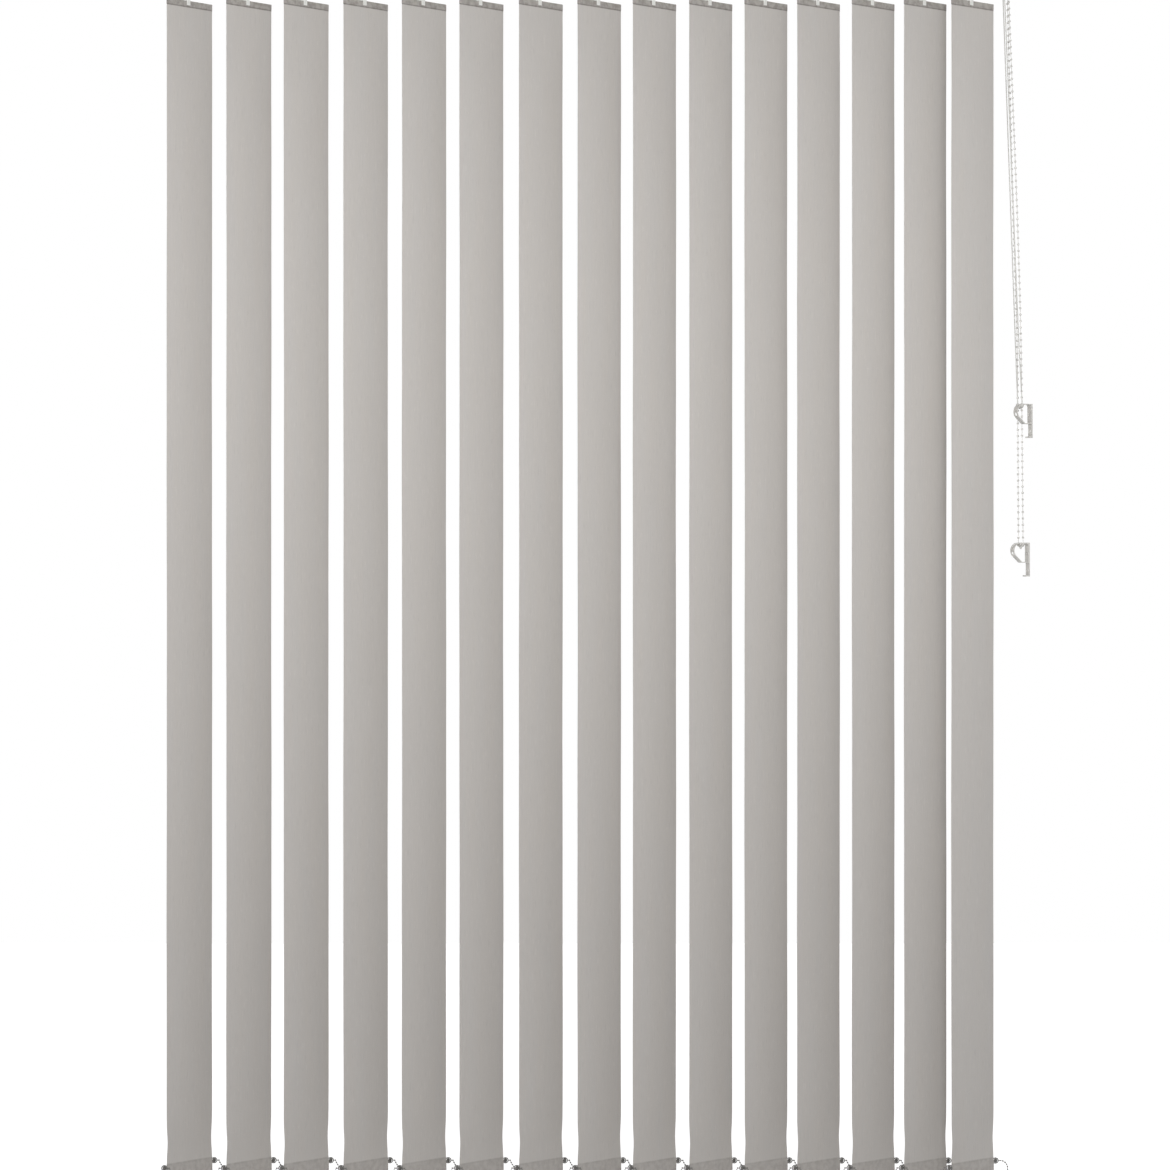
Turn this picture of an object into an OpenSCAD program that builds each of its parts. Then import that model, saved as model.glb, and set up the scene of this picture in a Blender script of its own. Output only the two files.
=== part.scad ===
// Vertical blind with fabric vanes, hung from a ceiling rail.
// The rail lies along X, the room is on the -Y side, and Z = 0 is the ceiling.
// Each vane hangs from a carrier that rolls in the rail and turns it about a vertical stem.

/* [Vanes] */
// Width of a vane's fabric
vane_w = 127; // [120:1:130]
// Length of a vane from its top edge to its foot
vane_l = 2220; // [1800:10:2260]
// Thickness of one layer of fabric
fabric_t = 0.45; // [0.35:0.05:0.5]
// Height of the hem at a vane's top
hem_h = 9.5; // [9:0.5:14]
// Height of the pocket at a vane's foot
pocket_h = 35; // [32:1:45]
// Angle between the middle vane and the rail
vane_angle = 50; // [40:1:70]
// Turn that the twist of the tilt rod adds between neighbouring vanes
rod_twist = 0.5; // [0:0.1:0.6]
// Distance from the rail's underside down to the vanes
vane_drop = 18.5; // [17:0.5:25]

/* [Foot weights] */
// Thickness of the weight plate in a vane's foot
weight_t = 1.5; // [1:0.1:1.6]
// Space between the weight's ends and the fabric's edges
weight_inset = 4.5; // [2:0.5:10]
// Distance from the fabric's edge to the middle of a weight's knob
knob_gap = 6.5; // [6:0.5:9]
// Radius of the knobs that hold the foot chains
knob_r = 4; // [3:0.25:4.25]
// Thickness of the knobs
knob_t = 3; // [2:0.25:3.25]
// Distance from the pocket's upper line down to the knobs
knob_drop = 6; // [5:0.5:9]

/* [Foot chains] */
// Radius of the chain
chain_r = 0.9; // [0.6:0.1:1.2]
// Length of the straight link at each knob
chain_link = 9; // [7:0.5:14]
// Steepness of the chain where it leaves its links
chain_slope = 68; // [40:1:80]
// Length of the loose end after the last knob
chain_tail = 22; // [10:1:60]

/* [Headrail] */
// Depth of the rail
rail_w = 44; // [43:1:56]
// Height of the rail
rail_h = 28; // [28:1:36]
// Thickness of the rail's walls
rail_wall = 1.3; // [1:0.1:1.8]
// Width of the slot under the rail
slot_w = 15; // [12:1:20]
// Distance from the first vane to the rail's end
rail_left = 64; // [60:1:120]
// Distance from the last vane to the rail's end
rail_right = 40; // [30:1:100]

/* [Carriers] */
// Length of a carrier along the rail
carrier_l = 16; // [14:1:18]
// Depth of a carrier across the rail
carrier_w = 30; // [28:1:31]
// Height of a carrier's body
carrier_h = 14.8; // [14:0.2:16]
// Radius of the wheels
wheel_r = 3.6; // [3:0.1:3.8]
// Thickness of the wheels
wheel_t = 3; // [2:0.25:3.5]
// Thickness of a spacer strip
spacer_t = 0.8; // [0.4:0.1:1]
// Height of a spacer strip
spacer_h = 4.5; // [3:0.5:5]

/* [Stems] */
// Radius of the stem's shaft
stem_r = 3.1; // [2.5:0.1:3.4]
// Number of teeth on the stem's gear
gear_teeth = 18; // [14:1:22]
// Width of the hook at the foot of the stem
hook_w = 9; // [7:0.5:12]
// Thickness of each of the hook's two cheeks
cheek_t = 1; // [0.8:0.1:1.1]
// Distance of the hook from the middle of the vane
hook_side = 4; // [0:0.5:5]

/* [Tilt rod] */
// Radius of the tilt rod
rod_r = 2; // [1.6:0.1:2.2]
// Distance of the tilt rod from the middle of the rail
rod_y = 9; // [9:0.1:9.5]

/* [Brackets] */
// Thickness of a bracket's plate
bracket_t = 1.5; // [1.2:0.1:2.5]
// Length of a bracket along the rail
bracket_l = 24; // [18:1:40]
// Distance from the middle bracket to each outer one
bracket_span = 600; // [400:10:700]
// Radius of the brackets' screw holes
screw_r = 2.25; // [1.75:0.25:2.75]
// Distance between the two screw holes of a bracket
screw_span = 20; // [16:1:26]

/* [Controls] */
// Radius of the pulling cord
cord_r = 1; // [0.75:0.05:1.1]
// Radius of the plain solid that stands for the bead chain
bead_line_r = 1.5; // [1.2:0.1:1.8]
// Radius of the chain's beads
bead_r = 2.25; // [2:0.05:2.4]
// Distance of the cord's runs from the middle of the rail
cord_y = 14; // [13.5:0.25:14.5]
// Radius of the cord's line round its two guide pulleys
guide_r = 7; // [6:0.5:7.5]
// Thickness of the pulleys
pulley_t = 4; // [3:0.25:4]
// Radius of the bead chain's line round its wheel
chain_wheel_r = 11.5; // [11:0.25:11.75]
// Width of the chain wheel
chain_wheel_w = 8; // [7:0.5:9]
// Length of the control housing along the rail
housing_l = 36; // [36:1:44]
// Depth of the control housing
housing_w = 52; // [52:1:60]
// Height of the control housing
housing_h = 41; // [38:1:42]
// Thickness of the housing's and the end cap's walls
housing_wall = 2; // [1.5:0.25:2.5]

/* [Cord clips] */
// Width of a clip's strip
clip_w = 12; // [10:1:16]
// Thickness of a clip's strip
clip_t = 1.8; // [1.4:0.1:2.4]
// Height of a clip
clip_h = 64; // [58:1:80]
// Depth of a clip from its base to the far side of its eye
clip_d = 36; // [34:1:44]
// Height of a clip's eye
eye_h = 38; // [36:1:42]
// Length of the foot under a clip's base
clip_foot = 8.5; // [6:0.5:12]
// Radius of a clip's screw holes
clip_screw_r = 2; // [1.5:0.25:2.5]
// Radius of the hole in a clip's eye that lets a screwdriver through
driver_r = 3.5; // [3:0.25:4.5]

/* [Hidden] */
$fn = 32;

// Distances between neighbouring vanes, from the leading vane to the fixed one.
PITCHES = [112, 108, 112, 110, 108, 112, 110, 104, 106, 104, 99, 103, 98, 89];
count = len(PITCHES) + 1;
first_x = -745;
function pitch_sum(i) = i == 0 ? 0 : PITCHES[i - 1] + pitch_sum(i - 1);
VANE_X = [for (i = [0:count - 1]) first_x + pitch_sum(i)];
middle = (count - 1) / 2;
function turn_of(i) = vane_angle + rod_twist * (middle - i);

// Clearances between pieces that move past each other.
run_gap = 0.25;
pin_gap = 0.1;
shaft_gap = 0.15;
mesh_gap = 0.2;
slip = 0.05;

// Heights of the rail and of what runs in it.
rail_top = -bracket_t;
rail_foot = rail_top - rail_h;
lip_top = rail_foot + rail_wall;
rail_x0 = VANE_X[0] - rail_left;
rail_x1 = VANE_X[count - 1] + rail_right;
inner_half = rail_w / 2 - rail_wall;
carrier_lift = 0.8;
carrier_z0 = lip_top + carrier_lift;
carrier_z1 = carrier_z0 + carrier_h;
wheel_z = lip_top + wheel_r + run_gap;
wheel_x = carrier_l / 4;
axle_r = 1;
axle_l = 0.8;

// The worm drive: the gear on the stem and the worm on the tilt rod.
gear_floor = carrier_z0 + 3;
gear_h = 8;
gear_z0 = gear_floor + run_gap;
worm_r = rod_r + 1.4;
gear_tip = rod_y - worm_r - mesh_gap;
gear_root = gear_tip - 0.9;
rod_z = gear_z0 + gear_h / 2;
worm_l = carrier_l - 6;
worm_thread = 0.7;

// The spacer strips lie side by side in lanes over the carriers.
lanes = 6;
lane_step = spacer_t + 1;
spacer_lift = 0.6;
spacer_over = 10;
function lane_y(i) = (i % lanes - (lanes - 1) / 2) * lane_step;

// The vanes.
vane_top = rail_foot - vane_drop;
vane_foot = vane_top - vane_l;
pocket_top = vane_foot + pocket_h;
hanger_t = 0.5;
hem_half = fabric_t + hanger_t / 2;
pocket_half = fabric_t + weight_t / 2 + slip;
seam = 1.5;
hole_r = 2.4;
hole_drop = 5.5;
hanger_w = 40;
weight_w = vane_w - 2 * weight_inset;
weight_z0 = vane_foot + seam + slip;
knob_x = vane_w / 2 + knob_gap;
knob_z = pocket_top - knob_drop;
weight_h = knob_z + 1.5 - weight_z0;
lug_h = 4;

// The hook of the stem.
barb_r = 1.6;
barb_z = vane_top - hole_drop + hole_r - barb_r - slip;
cheek_in = hem_half + run_gap;
cheek_out = cheek_in + cheek_t;
tongue_h = 10;
tongue_top = vane_top + tongue_h;

// The foot chains.
ring_r = knob_r + run_gap + chain_r;

// The cord in the rail and the controls at its right end.
cord_z = carrier_z1 + 3.5;
idler_r = cord_y;
idler_x = rail_x0 + idler_r + 3;
idler_t = 5;
idler_pin_r = 2.5;
guide_x = rail_x1 + guide_r + 4;
guide_z = cord_z - guide_r;
guide_pin_r = 2;
flange = 1.5;
wheel_line_x = guide_x + guide_r + 9;
housing_x1 = rail_x1 + housing_l;
housing_z1 = -0.5;
housing_z0 = housing_z1 - housing_h;
rod_x0 = rail_x0 - 4;
rod_x1 = housing_x1 - housing_wall - slip;
cap_x0 = rail_x0 - 12;
post_r = 4;

// The two clips: place of the base's top, and turn of the clip towards the room.
UPPER_CLIP = [840, 2, -807];
UPPER_TURN = 30;
LOWER_CLIP = [837, 20, -1068];
LOWER_TURN = 26;
upper_hook_x = -25;
lower_hook_x = -16.5;
saddle_r = clip_w / 2;
clip_holes = [20, 51];

// The cord and the chain hang in these places between the rail and the clips.
CORD_BEND_FRONT = [816, -9, -690];
CORD_BEND_BACK = [812, 13, -690];
CHAIN_BENDS_FRONT = [[815, 2, -460], [822, 4, -680]];
CHAIN_BENDS_BACK = [[809, 22, -460], [817, 24, -680]];

function two(i) = str(i < 10 ? "0" : "", i);
CARRIERS = [for (i = [1:count]) str("carrier_", two(i))];
STEMS = [for (i = [1:count]) str("stem_", two(i))];
VANES = [for (i = [1:count]) str("vane_", two(i))];

white = [0.93, 0.93, 0.91];
clear = [0.86, 0.87, 0.86];
cloth = [0.72, 0.7, 0.67];
steel = [0.62, 0.62, 0.6];

// Stretches a flat outline, drawn in Y and Z, along X from x0 to x1.
module along_x(x0, x1) {
  translate([x0, 0, 0]) rotate([90, 0, 90]) linear_extrude(x1 - x0) children();
}

// A rectangle from corner a to corner b with its corners rounded.
module soft_rect(a, b, r) {
  translate([a.x + r, a.y]) square([b.x - a.x - 2 * r, b.y - a.y]);
  translate([a.x, a.y + r]) square([b.x - a.x, b.y - a.y - 2 * r]);
  for (x = [a.x + r, b.x - r], y = [a.y + r, b.y - r]) {
    translate([x, y]) circle(r);
  }
}

// A block between two corners.
module block(a, b) {
  translate(a) cube(b - a);
}

// A straight round bar between two points.
module bar(a, b, r) {
  d = b - a;
  translate(a)
    rotate([0, acos(d.z / norm(d)), atan2(d.y, d.x)])
      cylinder(r = r, h = norm(d));
}

// The directions of a line at its points.
function unit(v) = v / norm(v);
function headings(line) = [
  for (i = [0:len(line) - 1])
    unit(line[min(i + 1, len(line) - 1)] - line[max(i - 1, 0)])
];

// One side direction for each point, carried along the line without a twist.
function carried(side, heading) = unit(side - (side * heading) * heading);
function sides_along(dirs, side) = [
  for (i = 0, s = carried(side, dirs[0]); i < len(dirs);
       i = i + 1, s = i < len(dirs) ? carried(s, dirs[i]) : s) s
];

// A round tube that follows a line of points, with flat ends.
module tube(line, r, side) {
  n = 8;
  last = len(line) - 1;
  dirs = headings(line);
  sides = sides_along(dirs, side);
  points = [
    for (i = [0:last], k = [0:n - 1])
      let (a = k * 360 / n)
        line[i] + r * (cos(a) * sides[i] + sin(a) * cross(dirs[i], sides[i]))
  ];
  walls = [
    for (i = [0:last - 1], k = [0:n - 1])
      let (a = i * n + k, b = i * n + (k + 1) % n)
        each [[a, a + n, b + n], [a, b + n, b]]
  ];
  ends = [[for (k = [0:n - 1]) k], [for (k = [n - 1:-1:0]) last * n + k]];
  polyhedron(points, concat(walls, ends));
}

// Points on an arc round a centre, in the plane of the directions u and v.
function arc_points(centre, r, u, v, a0, a1, steps) = [
  for (k = [0:steps])
    let (a = a0 + (a1 - a0) * k / steps) centre + r * (cos(a) * u + sin(a) * v)
];

// Part of a ring round Z, from angle 0 on.
module ring_arc(ring, r, angle) {
  rotate_extrude(angle = angle, $fn = 96) translate([ring, 0]) circle(r);
}

// Aluminium rail: a flat box that is open along its underside.
module headrail() {
  color(white) along_x(rail_x0, rail_x1) difference() {
    soft_rect([-rail_w / 2, rail_foot], [rail_w / 2, rail_top], 2);
    soft_rect([-inner_half, lip_top], [inner_half, rail_top - rail_wall], 1);
    translate([-slot_w / 2, rail_foot - 1]) square([slot_w, rail_wall + 2]);
    for (side = [-1, 1]) {
      translate([side * rail_w / 2 - 0.6, rail_top - 5.5]) square([1.2, 2]);
    }
  }
}

// Left end of the rail, with a shelf and a pin for the idler pulley.
module end_cap() {
  color(white) {
    difference() {
      along_x(cap_x0, rail_x0) {
        soft_rect([-rail_w / 2 - 1, rail_foot - 1], [rail_w / 2 + 1, housing_z1], 3);
      }
      along_x(rail_x0 - 6, rail_x0 + 1) translate([rod_y, rod_z]) circle(rod_r + pin_gap);
    }
    shelf_z = cord_z - idler_t / 2 - run_gap;
    shelf_half = inner_half - 1;
    block([rail_x0 - 1, -shelf_half, shelf_z - 2], [idler_x + 6, shelf_half, shelf_z]);
    translate([idler_x, 0, shelf_z - 1]) cylinder(r = idler_pin_r, h = idler_t + 1.5);
  }
}

// Housing of the controls: a rounded shell, open below for cord and chain.
module control_housing() {
  half = housing_w / 2;
  color(white) {
    difference() {
      along_x(rail_x1, housing_x1) {
        soft_rect([-half, housing_z0], [half, housing_z1], 4);
      }
      along_x(rail_x1 + housing_wall, housing_x1 - housing_wall) soft_rect(
        [-half + housing_wall, housing_z0 + housing_wall],
        [half - housing_wall, housing_z1 - housing_wall], 2);
      along_x(rail_x1 - 1, rail_x1 + housing_wall + 1) soft_rect(
        [-cord_y - 4, rod_z - rod_r - 3], [cord_y + 4, cord_z + cord_r + 2], 2);
      block([guide_x + 2, -cord_y - 3.5, housing_z0 - 1],
            [wheel_line_x + 5, rod_y + chain_wheel_r + 3.2, housing_z0 + housing_wall + 1]);
      along_x(housing_x1 - housing_wall - 1, housing_x1 - 0.8) {
        translate([rod_y, rod_z]) circle(rod_r + pin_gap);
      }
    }
    difference() {
      along_x(wheel_line_x + chain_wheel_w / 2 + run_gap, housing_x1 - housing_wall + 0.5) {
        translate([rod_y, rod_z]) circle(rod_r + 2);
      }
      along_x(wheel_line_x, housing_x1 - housing_wall + 1) {
        translate([rod_y, rod_z]) circle(rod_r + pin_gap);
      }
    }
    for (side = [-1, 1]) {
      translate([guide_x, side * (half - 1), guide_z]) rotate([side * 90, 0, 0]) {
        cylinder(r = guide_pin_r, h = half - 1 - cord_y + pulley_t / 2 + 0.6);
        cylinder(r = post_r, h = half - 1 - cord_y - pulley_t / 2 - run_gap);
      }
    }
  }
}

// Three ceiling brackets whose hooked arms grip grooves in the rail's sides.
module bracket() {
  arm_in = rail_w / 2 + 0.15;
  arm_out = arm_in + bracket_t;
  hook_z = rail_top - 5.2;
  difference() {
    along_x(-bracket_l / 2, bracket_l / 2) soft_rect([-arm_out, rail_top], [arm_out, 0], 0.5);
    for (side = [-1, 1]) {
      translate([0, side * screw_span / 2, rail_top - 1]) cylinder(r = screw_r, h = bracket_t + 2);
    }
  }
  for (side = [-1, 1]) {
    along_x(-bracket_l / 3, bracket_l / 3) scale([side, 1]) {
      translate([arm_in, rail_top - 8]) square([bracket_t, 8.5]);
      translate([arm_in - 0.6, hook_z]) square([1, 1.4]);
    }
  }
}

module brackets() {
  color(white) for (x = [-bracket_span, 0, bracket_span]) {
    translate([x, 0, 0]) bracket();
  }
}

// Fluted rod that turns all the worms at once.
module tilt_rod() {
  color(steel) along_x(rod_x0, rod_x1) translate([rod_y, rod_z]) difference() {
    circle(rod_r);
    for (a = [0:120:240]) {
      rotate(a) translate([rod_r + 0.1, 0]) circle(0.45);
    }
  }
}

// A spool: a hub between two flanges, turned about Z, with its groove at the given radius.
module spool(line, groove, width, bore) {
  hub = line - groove - 0.2;
  rim = line + flange;
  side = (width - 2 * groove - 0.5) / 2;
  rotate_extrude($fn = 96) polygon([
    [bore, -width / 2],
    [rim, -width / 2],
    [rim, -width / 2 + side / 2],
    [hub, -groove],
    [hub, groove],
    [rim, width / 2 - side / 2],
    [rim, width / 2],
    [bore, width / 2]
  ]);
}

// Wheel on the tilt rod that the bead chain turns.
module chain_wheel() {
  color(white) translate([wheel_line_x, rod_y, rod_z]) rotate([0, 90, 0]) difference() {
    spool(chain_wheel_r, bead_r + 0.2, chain_wheel_w, rod_r + slip);
    for (a = [0:60:300]) {
      rotate(a) translate([chain_wheel_r, 0, 0]) sphere(bead_r + 0.65);
    }
  }
}

// Pulley in the end cap that turns the cord back.
module idler_pulley() {
  color(white) translate([idler_x, 0, cord_z]) {
    spool(idler_r, cord_r + 0.1, idler_t, idler_pin_r + pin_gap);
  }
}

module guide_pulley(side) {
  color(white) translate([guide_x, side * cord_y, guide_z]) rotate([90, 0, 0]) {
    spool(guide_r, cord_r + 0.1, pulley_t, guide_pin_r + pin_gap);
  }
}

module guide_pulley_front() {
  guide_pulley(-1);
}

module guide_pulley_back() {
  guide_pulley(1);
}

// A point given in a clip's own frame, set in the blind.
function in_clip(place, turn, p) = place + [
  p.x * cos(turn) - p.y * sin(turn),
  p.x * sin(turn) + p.y * cos(turn),
  p.z
];

// The half turn of a cord or chain under a clip's saddle: way 1 goes from front to back.
function clip_turn(place, turn, hook_x, reach, way) = [
  for (a = [-90:15:90])
    in_clip(place, turn, [hook_x, way * reach * sin(a), -clip_t - reach * cos(a)])
];

// Pulling cord: from the leading carrier round three pulleys and the upper clip, and back.
module cord_loop() {
  reach = saddle_r + cord_r + mesh_gap;
  tie_x = VANE_X[0];
  tie_gap = 0.5;
  x = [1, 0, 0];
  y = [0, 1, 0];
  z = [0, 0, 1];
  color(white) tube(concat(
    [[tie_x - tie_gap, -cord_y, cord_z]],
    arc_points([idler_x, 0, cord_z], idler_r, x, y, -90, -270, 12),
    arc_points([guide_x, cord_y, guide_z], guide_r, x, z, 90, 0, 6),
    [CORD_BEND_BACK],
    clip_turn(UPPER_CLIP, UPPER_TURN, upper_hook_x, reach, -1),
    [CORD_BEND_FRONT],
    arc_points([guide_x, -cord_y, guide_z], guide_r, x, z, 0, 90, 6),
    [[tie_x + tie_gap, -cord_y, cord_z]]
  ), cord_r, z);
}

// Bead chain, as a plain line: over its wheel, past the upper clip and round the lower one.
module bead_chain() {
  reach = saddle_r + bead_r;
  axis = [wheel_line_x, rod_y, rod_z];
  y = [0, 1, 0];
  z = [0, 0, 1];
  join_angle = 2;
  color(white) tube(concat(
    arc_points(axis, chain_wheel_r, y, z, 90 + join_angle, 180, 6),
    CHAIN_BENDS_FRONT,
    clip_turn(LOWER_CLIP, LOWER_TURN, lower_hook_x, reach, 1),
    [for (i = [len(CHAIN_BENDS_BACK) - 1:-1:0]) CHAIN_BENDS_BACK[i]],
    arc_points(axis, chain_wheel_r, y, z, 0, 90 - join_angle, 6)
  ), bead_line_r, [1, 0, 0]);
}

// Outline of a clip's eye: a rounded top that narrows to a short flat bottom.
module eye_outline(inset) {
  top_r = clip_d * 0.42;
  hull() {
    translate([-clip_d + top_r, -top_r]) circle(top_r - inset);
    translate([-clip_t - 6, -6]) circle(6 - inset);
    translate([-clip_d * 0.45, -eye_h + 5]) circle(5 - inset);
    translate([-clip_t - 2.5, -eye_h + 2.5]) circle(2.5 - inset);
  }
}

// Clip that is screwed to the wall and keeps a loop of cord or chain taut.
module clip(place, turn, hook_x) {
  half = clip_w / 2;
  color(clear) translate(place) rotate(turn) {
    difference() {
      union() {
        rotate([90, 0, 0]) translate([0, 0, -half]) linear_extrude(clip_w) {
          difference() {
            union() {
              eye_outline(0);
              translate([-clip_t - 3, -eye_h]) square([clip_t + 3, eye_h]);
            }
            eye_outline(clip_t);
          }
        }
        block([-clip_t, -half, -clip_h], [0, half, 0]);
        block([-clip_foot, -half, -clip_h], [0, half, -clip_h + 2.5]);
      }
      for (z = clip_holes) {
        translate([-clip_t - 4, 0, -z]) rotate([0, 90, 0]) cylinder(r = clip_screw_r, h = clip_t + 5);
      }
      translate([-clip_d - 1, 0, -clip_holes[0]]) rotate([0, 90, 0]) {
        cylinder(r = driver_r, h = clip_d / 2);
      }
    }
    intersection() {
      translate([hook_x - 5, 0, -clip_t + 0.1]) rotate([0, 90, 0]) cylinder(r = saddle_r, h = 10);
      block([hook_x - 6, -half, -clip_t - saddle_r], [hook_x + 6, half, -clip_t + 0.5]);
    }
  }
}

module clip_upper() {
  clip(UPPER_CLIP, UPPER_TURN, upper_hook_x);
}

module clip_lower() {
  clip(LOWER_CLIP, LOWER_TURN, lower_hook_x);
}

// Middle of a vane's knob: side -1 is the knob towards the room.
function knob_at(i, side) = [
  VANE_X[i] + side * knob_x * cos(turn_of(i)),
  side * knob_x * sin(turn_of(i)),
  knob_z
];

// One hanging stretch of chain between two knobs, with a straight link at each end.
module chain_span(a, b) {
  d = b - a;
  gap = norm(d);
  arc_r = (gap / 2 - chain_link) / sin(chain_slope);
  translate(a) rotate(atan2(d.y, d.x)) {
    bar([ring_r, 0, 0], [chain_link, 0, 0], chain_r);
    bar([gap - chain_link, 0, 0], [gap - ring_r, 0, 0], chain_r);
    for (x = [chain_link, gap - chain_link]) {
      translate([x, 0, 0]) sphere(chain_r * 1.3);
    }
    translate([gap / 2, 0, arc_r * cos(chain_slope)]) rotate([90, 0, 0]) {
      rotate(-90 - chain_slope) ring_arc(arc_r, chain_r, 2 * chain_slope);
    }
  }
}

module foot_chain(side) {
  for (i = [0:count - 1]) {
    translate(knob_at(i, side)) rotate([90, 0, 0]) ring_arc(ring_r, chain_r, 360);
  }
  for (i = [0:count - 2]) {
    chain_span(knob_at(i, side), knob_at(i + 1, side));
  }
}

module foot_chain_front() {
  color(white) foot_chain(-1);
}

module foot_chain_back() {
  bend = 14;
  color(white) {
    foot_chain(1);
    translate(knob_at(count - 1, 1)) {
      bar([ring_r, 0, 0], [chain_link, 0, 0], chain_r);
      translate([chain_link, 0, 0]) sphere(chain_r * 1.3);
      translate([chain_link, 0, -bend]) rotate([90, 0, 0]) ring_arc(bend, chain_r, 90);
      bar([chain_link + bend, 0, -bend], [chain_link + bend, 0, -bend - chain_tail], chain_r);
    }
  }
}

// Worm on the tilt rod: a hub with ridges.
module worm() {
  ridge = worm_thread;
  steps = floor(worm_l / (3 * ridge));
  translate([-worm_l / 2, rod_y, rod_z]) rotate([0, 90, 0]) difference() {
    union() {
      cylinder(r = worm_r - ridge, h = worm_l);
      for (k = [0:steps - 1]) {
        translate([0, 0, (k + 0.5) * worm_l / steps - ridge]) {
          cylinder(r = worm_r, h = 2 * ridge - 0.4);
        }
      }
    }
    translate([0, 0, -1]) cylinder(r = rod_r + pin_gap, h = worm_l + 2);
  }
}

// Carrier: a wheeled body with the worm drive. On its rib lies the spacer strip, a piece of
// its own, that reaches over the carrier before it.
module carrier(i) {
  half_l = carrier_l / 2;
  half_w = carrier_w / 2;
  translate([VANE_X[i], 0, 0]) {
    color(white) {
      difference() {
        block([-half_l, -half_w, carrier_z0], [half_l, half_w, carrier_z1]);
        translate([0, 0, gear_floor]) cylinder(r = gear_tip + 0.5, h = gear_h + 2 * run_gap);
        translate([0, 0, carrier_z0 - 1]) cylinder(r = stem_r + shaft_gap, h = 6);
        translate([-worm_l / 2 - run_gap, rod_y, rod_z]) rotate([0, 90, 0]) {
          cylinder(r = worm_r + 0.3, h = worm_l + 2 * run_gap);
        }
        translate([-half_l - 1, rod_y, rod_z]) rotate([0, 90, 0]) {
          cylinder(r = rod_r + 0.5, h = carrier_l + 2);
        }
        for (side = [-1, 1]) {
          translate([side * half_l, -half_w + 4, carrier_z0 + 7]) {
            cube([4, 5, 8], center = true);
          }
        }
      }
      for (side = [-1, 1], x = [-wheel_x, wheel_x]) {
        translate([x, side * (half_w - 1), wheel_z]) rotate([-side * 90, 0, 0]) {
          cylinder(r = axle_r, h = axle_l + wheel_t + 1.4);
          translate([0, 0, 1 + axle_l]) cylinder(r = wheel_r, h = wheel_t);
        }
      }
      if (i == 0) difference() {
        block([-5, -cord_y - 3, carrier_z1 - 0.5], [5, -cord_y + 3, cord_z + 3]);
        along_x(-6, 6) translate([-cord_y, cord_z]) circle(cord_r + run_gap);
      }
      worm();
    }
    if (i > 0) translate([0, lane_y(i), 0]) {
      lo = carrier_z1 + spacer_lift;
      color(white) {
        block([-half_l + 1, -spacer_t / 2, carrier_z1 - 0.5], [half_l - 1, spacer_t / 2, lo - slip]);
      }
      color(steel) difference() {
        block([-PITCHES[i - 1] - spacer_over, -spacer_t / 2, lo],
              [half_l - 2, spacer_t / 2, lo + spacer_h]);
        translate([-PITCHES[i - 1] - spacer_over + 4, 0, lo + spacer_h / 2]) {
          rotate([90, 0, 0]) cylinder(r = 1, h = 4, center = true);
        }
      }
    }
  }
}

// Outline of a toothed wheel with pointed-off teeth.
function tooth_ring(n, tip, root) = [
  for (i = [0:n - 1], k = [0:3])
    let (a = (i + [0, 0.22, 0.5, 0.72][k]) * 360 / n, r = k < 2 ? tip : root)
      [r * cos(a), r * sin(a)]
];

// Stem: gear and shaft in the carrier, and a two-cheeked hook that the vane hangs in.
module stem(i) {
  color(clear) translate([VANE_X[i], 0, 0]) rotate(turn_of(i)) {
    translate([0, 0, gear_z0]) linear_extrude(gear_h) {
      polygon(tooth_ring(gear_teeth, gear_tip, gear_root));
    }
    translate([0, 0, tongue_top - 2]) cylinder(r = stem_r, h = gear_z0 - tongue_top + 3);
    block([-hook_side - hook_w / 2, -cheek_out, vane_top + slip],
          [-hook_side + hook_w / 2, cheek_out, tongue_top - 3]);
    block([-stem_r, -cheek_out, vane_top + 4], [stem_r, cheek_out, tongue_top]);
    for (side = [-1, 1]) {
      low = side > 0 ? hem_h + 1 : hem_h - 1;
      scale([1, side, 1]) block(
        [-hook_side - hook_w / 2, cheek_in, vane_top - low],
        [-hook_side + hook_w / 2, cheek_out, vane_top + 1]);
    }
    translate([-hook_side, 0, barb_z]) rotate([90, 0, 0]) {
      cylinder(r = barb_r, h = 2 * cheek_in + 0.6, center = true);
    }
  }
}

// Side view of a vane's fabric: a folded hem over the hanger, one layer, and the weight's pocket.
module fabric_outline() {
  difference() {
    union() {
      translate([-fabric_t / 2, vane_foot + 1]) square([fabric_t, vane_l - 2]);
      translate([-hem_half, vane_top - hem_h]) square([2 * hem_half, hem_h]);
      translate([-pocket_half, vane_foot + 0.8]) square([2 * pocket_half, pocket_h - 0.8]);
      soft_rect([-pocket_half, vane_foot], [pocket_half, vane_foot + 5], 1);
    }
    translate([-hanger_t / 2 - slip, vane_top - hem_h + seam]) {
      square([hanger_t + 2 * slip, hem_h - 2 * seam + 0.6]);
    }
    translate([-weight_t / 2 - slip, vane_foot + seam]) {
      square([weight_t + 2 * slip, pocket_h - 2 * seam]);
    }
  }
}

// Steel weight in the pocket, with a lug and a round knob at each end.
module weight() {
  half_t = weight_t / 2;
  color(steel) {
    block([-weight_w / 2, -half_t, weight_z0], [weight_w / 2, half_t, weight_z0 + weight_h]);
    block([-knob_x, -half_t, weight_z0 + weight_h - lug_h], [knob_x, half_t, weight_z0 + weight_h]);
    for (side = [-1, 1]) {
      translate([side * knob_x, 0, knob_z]) rotate([90, 0, 0]) {
        cylinder(r = knob_r, h = knob_t, center = true);
      }
    }
  }
}

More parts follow.
